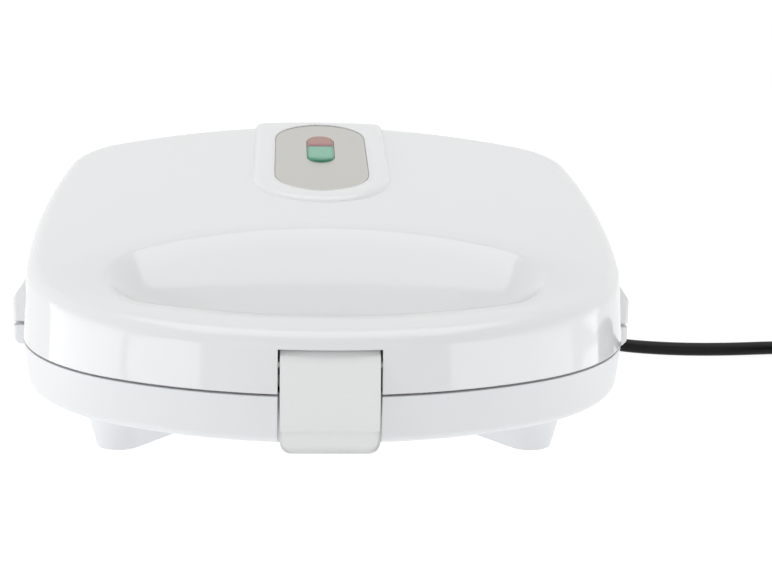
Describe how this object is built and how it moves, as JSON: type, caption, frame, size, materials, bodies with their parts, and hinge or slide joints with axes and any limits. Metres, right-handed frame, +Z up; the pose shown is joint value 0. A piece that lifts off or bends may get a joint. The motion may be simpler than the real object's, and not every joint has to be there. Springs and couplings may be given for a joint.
{
  "type": "donut maker",
  "caption": "Table-top electric donut maker: hinged crowned lid with a finger pocket over ring-shaped baking cavities, front latch, lamp lenses on a raised rib, short legs and a mains cord.",
  "frame": {"origin": "on the table under the middle of the closed appliance, measured without the cord", "axes": "+X to the right seen from the front, -Y to the front where the latch is, +Z up"},
  "size_m": [0.4166, 0.3194, 0.1014],
  "materials": {
    "lid_plastic": "glossy white moulded plastic",
    "base_plastic": "satin white moulded plastic",
    "latch_plastic": "satin white moulded plastic",
    "trim_steel": "brushed across its width",
    "green_lens": "tinted clear plastic",
    "red_lens": "tinted clear plastic",
    "baking_coating": "cast, with a dark non-stick coating",
    "element_sheath": "dull heat-darkened sheath",
    "shield_sheet": "bright thin sheet",
    "screw_steel": "zinc-plated",
    "pin_steel": "drawn wire",
    "foot_rubber": "matt",
    "gland_rubber": "matt",
    "cord_sheath": "satin black sheath",
    "tie_plastic": "matt",
    "plug_plastic": "satin black moulding",
    "plug_metal": "nickel-plated",
    "block_plastic": "natural nylon",
    "holder_plastic": "natural nylon",
    "lamp_glass": "clear",
    "thermostat_body": "ceramic-like moulding",
    "fuse_can": "plain can"
  },
  "bodies": {
    "base": {"base_housing": "base_plastic", "foot_pads": "foot_rubber", "lower_baking_plate": "baking_coating", "lower_heating_element": "element_sheath", "lower_heat_shield": "shield_sheet", "lower_plate_screws": "screw_steel", "hinge_pins": "pin_steel", "cord_gland": "gland_rubber", "terminal_block": "block_plastic", "power_cord": "cord_sheath", "cord_coil": "cord_sheath", "cord_tie": "tie_plastic", "plug_body": "plug_plastic", "plug_pins": "plug_metal"},
    "lid": {"lid_housing": "lid_plastic", "trim_plate": "trim_steel", "green_lens": "green_lens", "red_lens": "red_lens", "lamp_holder": "holder_plastic", "neon_lamps": "lamp_glass", "upper_baking_plate": "baking_coating", "upper_heating_element": "element_sheath", "upper_heat_shield": "shield_sheet", "upper_plate_screws": "screw_steel", "thermostat": "thermostat_body", "thermal_fuse": "fuse_can", "latch_pin": "pin_steel"},
    "latch": {"latch": "latch_plastic"}
  },
  "joints": [
    {"name": "lid_hinge", "type": "hinge", "parent": "base", "child": "lid", "pos_m": [0, 0.114, 0.0375], "axis": [-1, 0, 0], "range_deg": [0, 100]},
    {"name": "latch_pivot", "type": "hinge", "parent": "lid", "child": "latch", "pos_m": [0, -0.1083, 0.0454], "axis": [-1, 0, 0], "range_deg": [0, 35]}
  ]
}
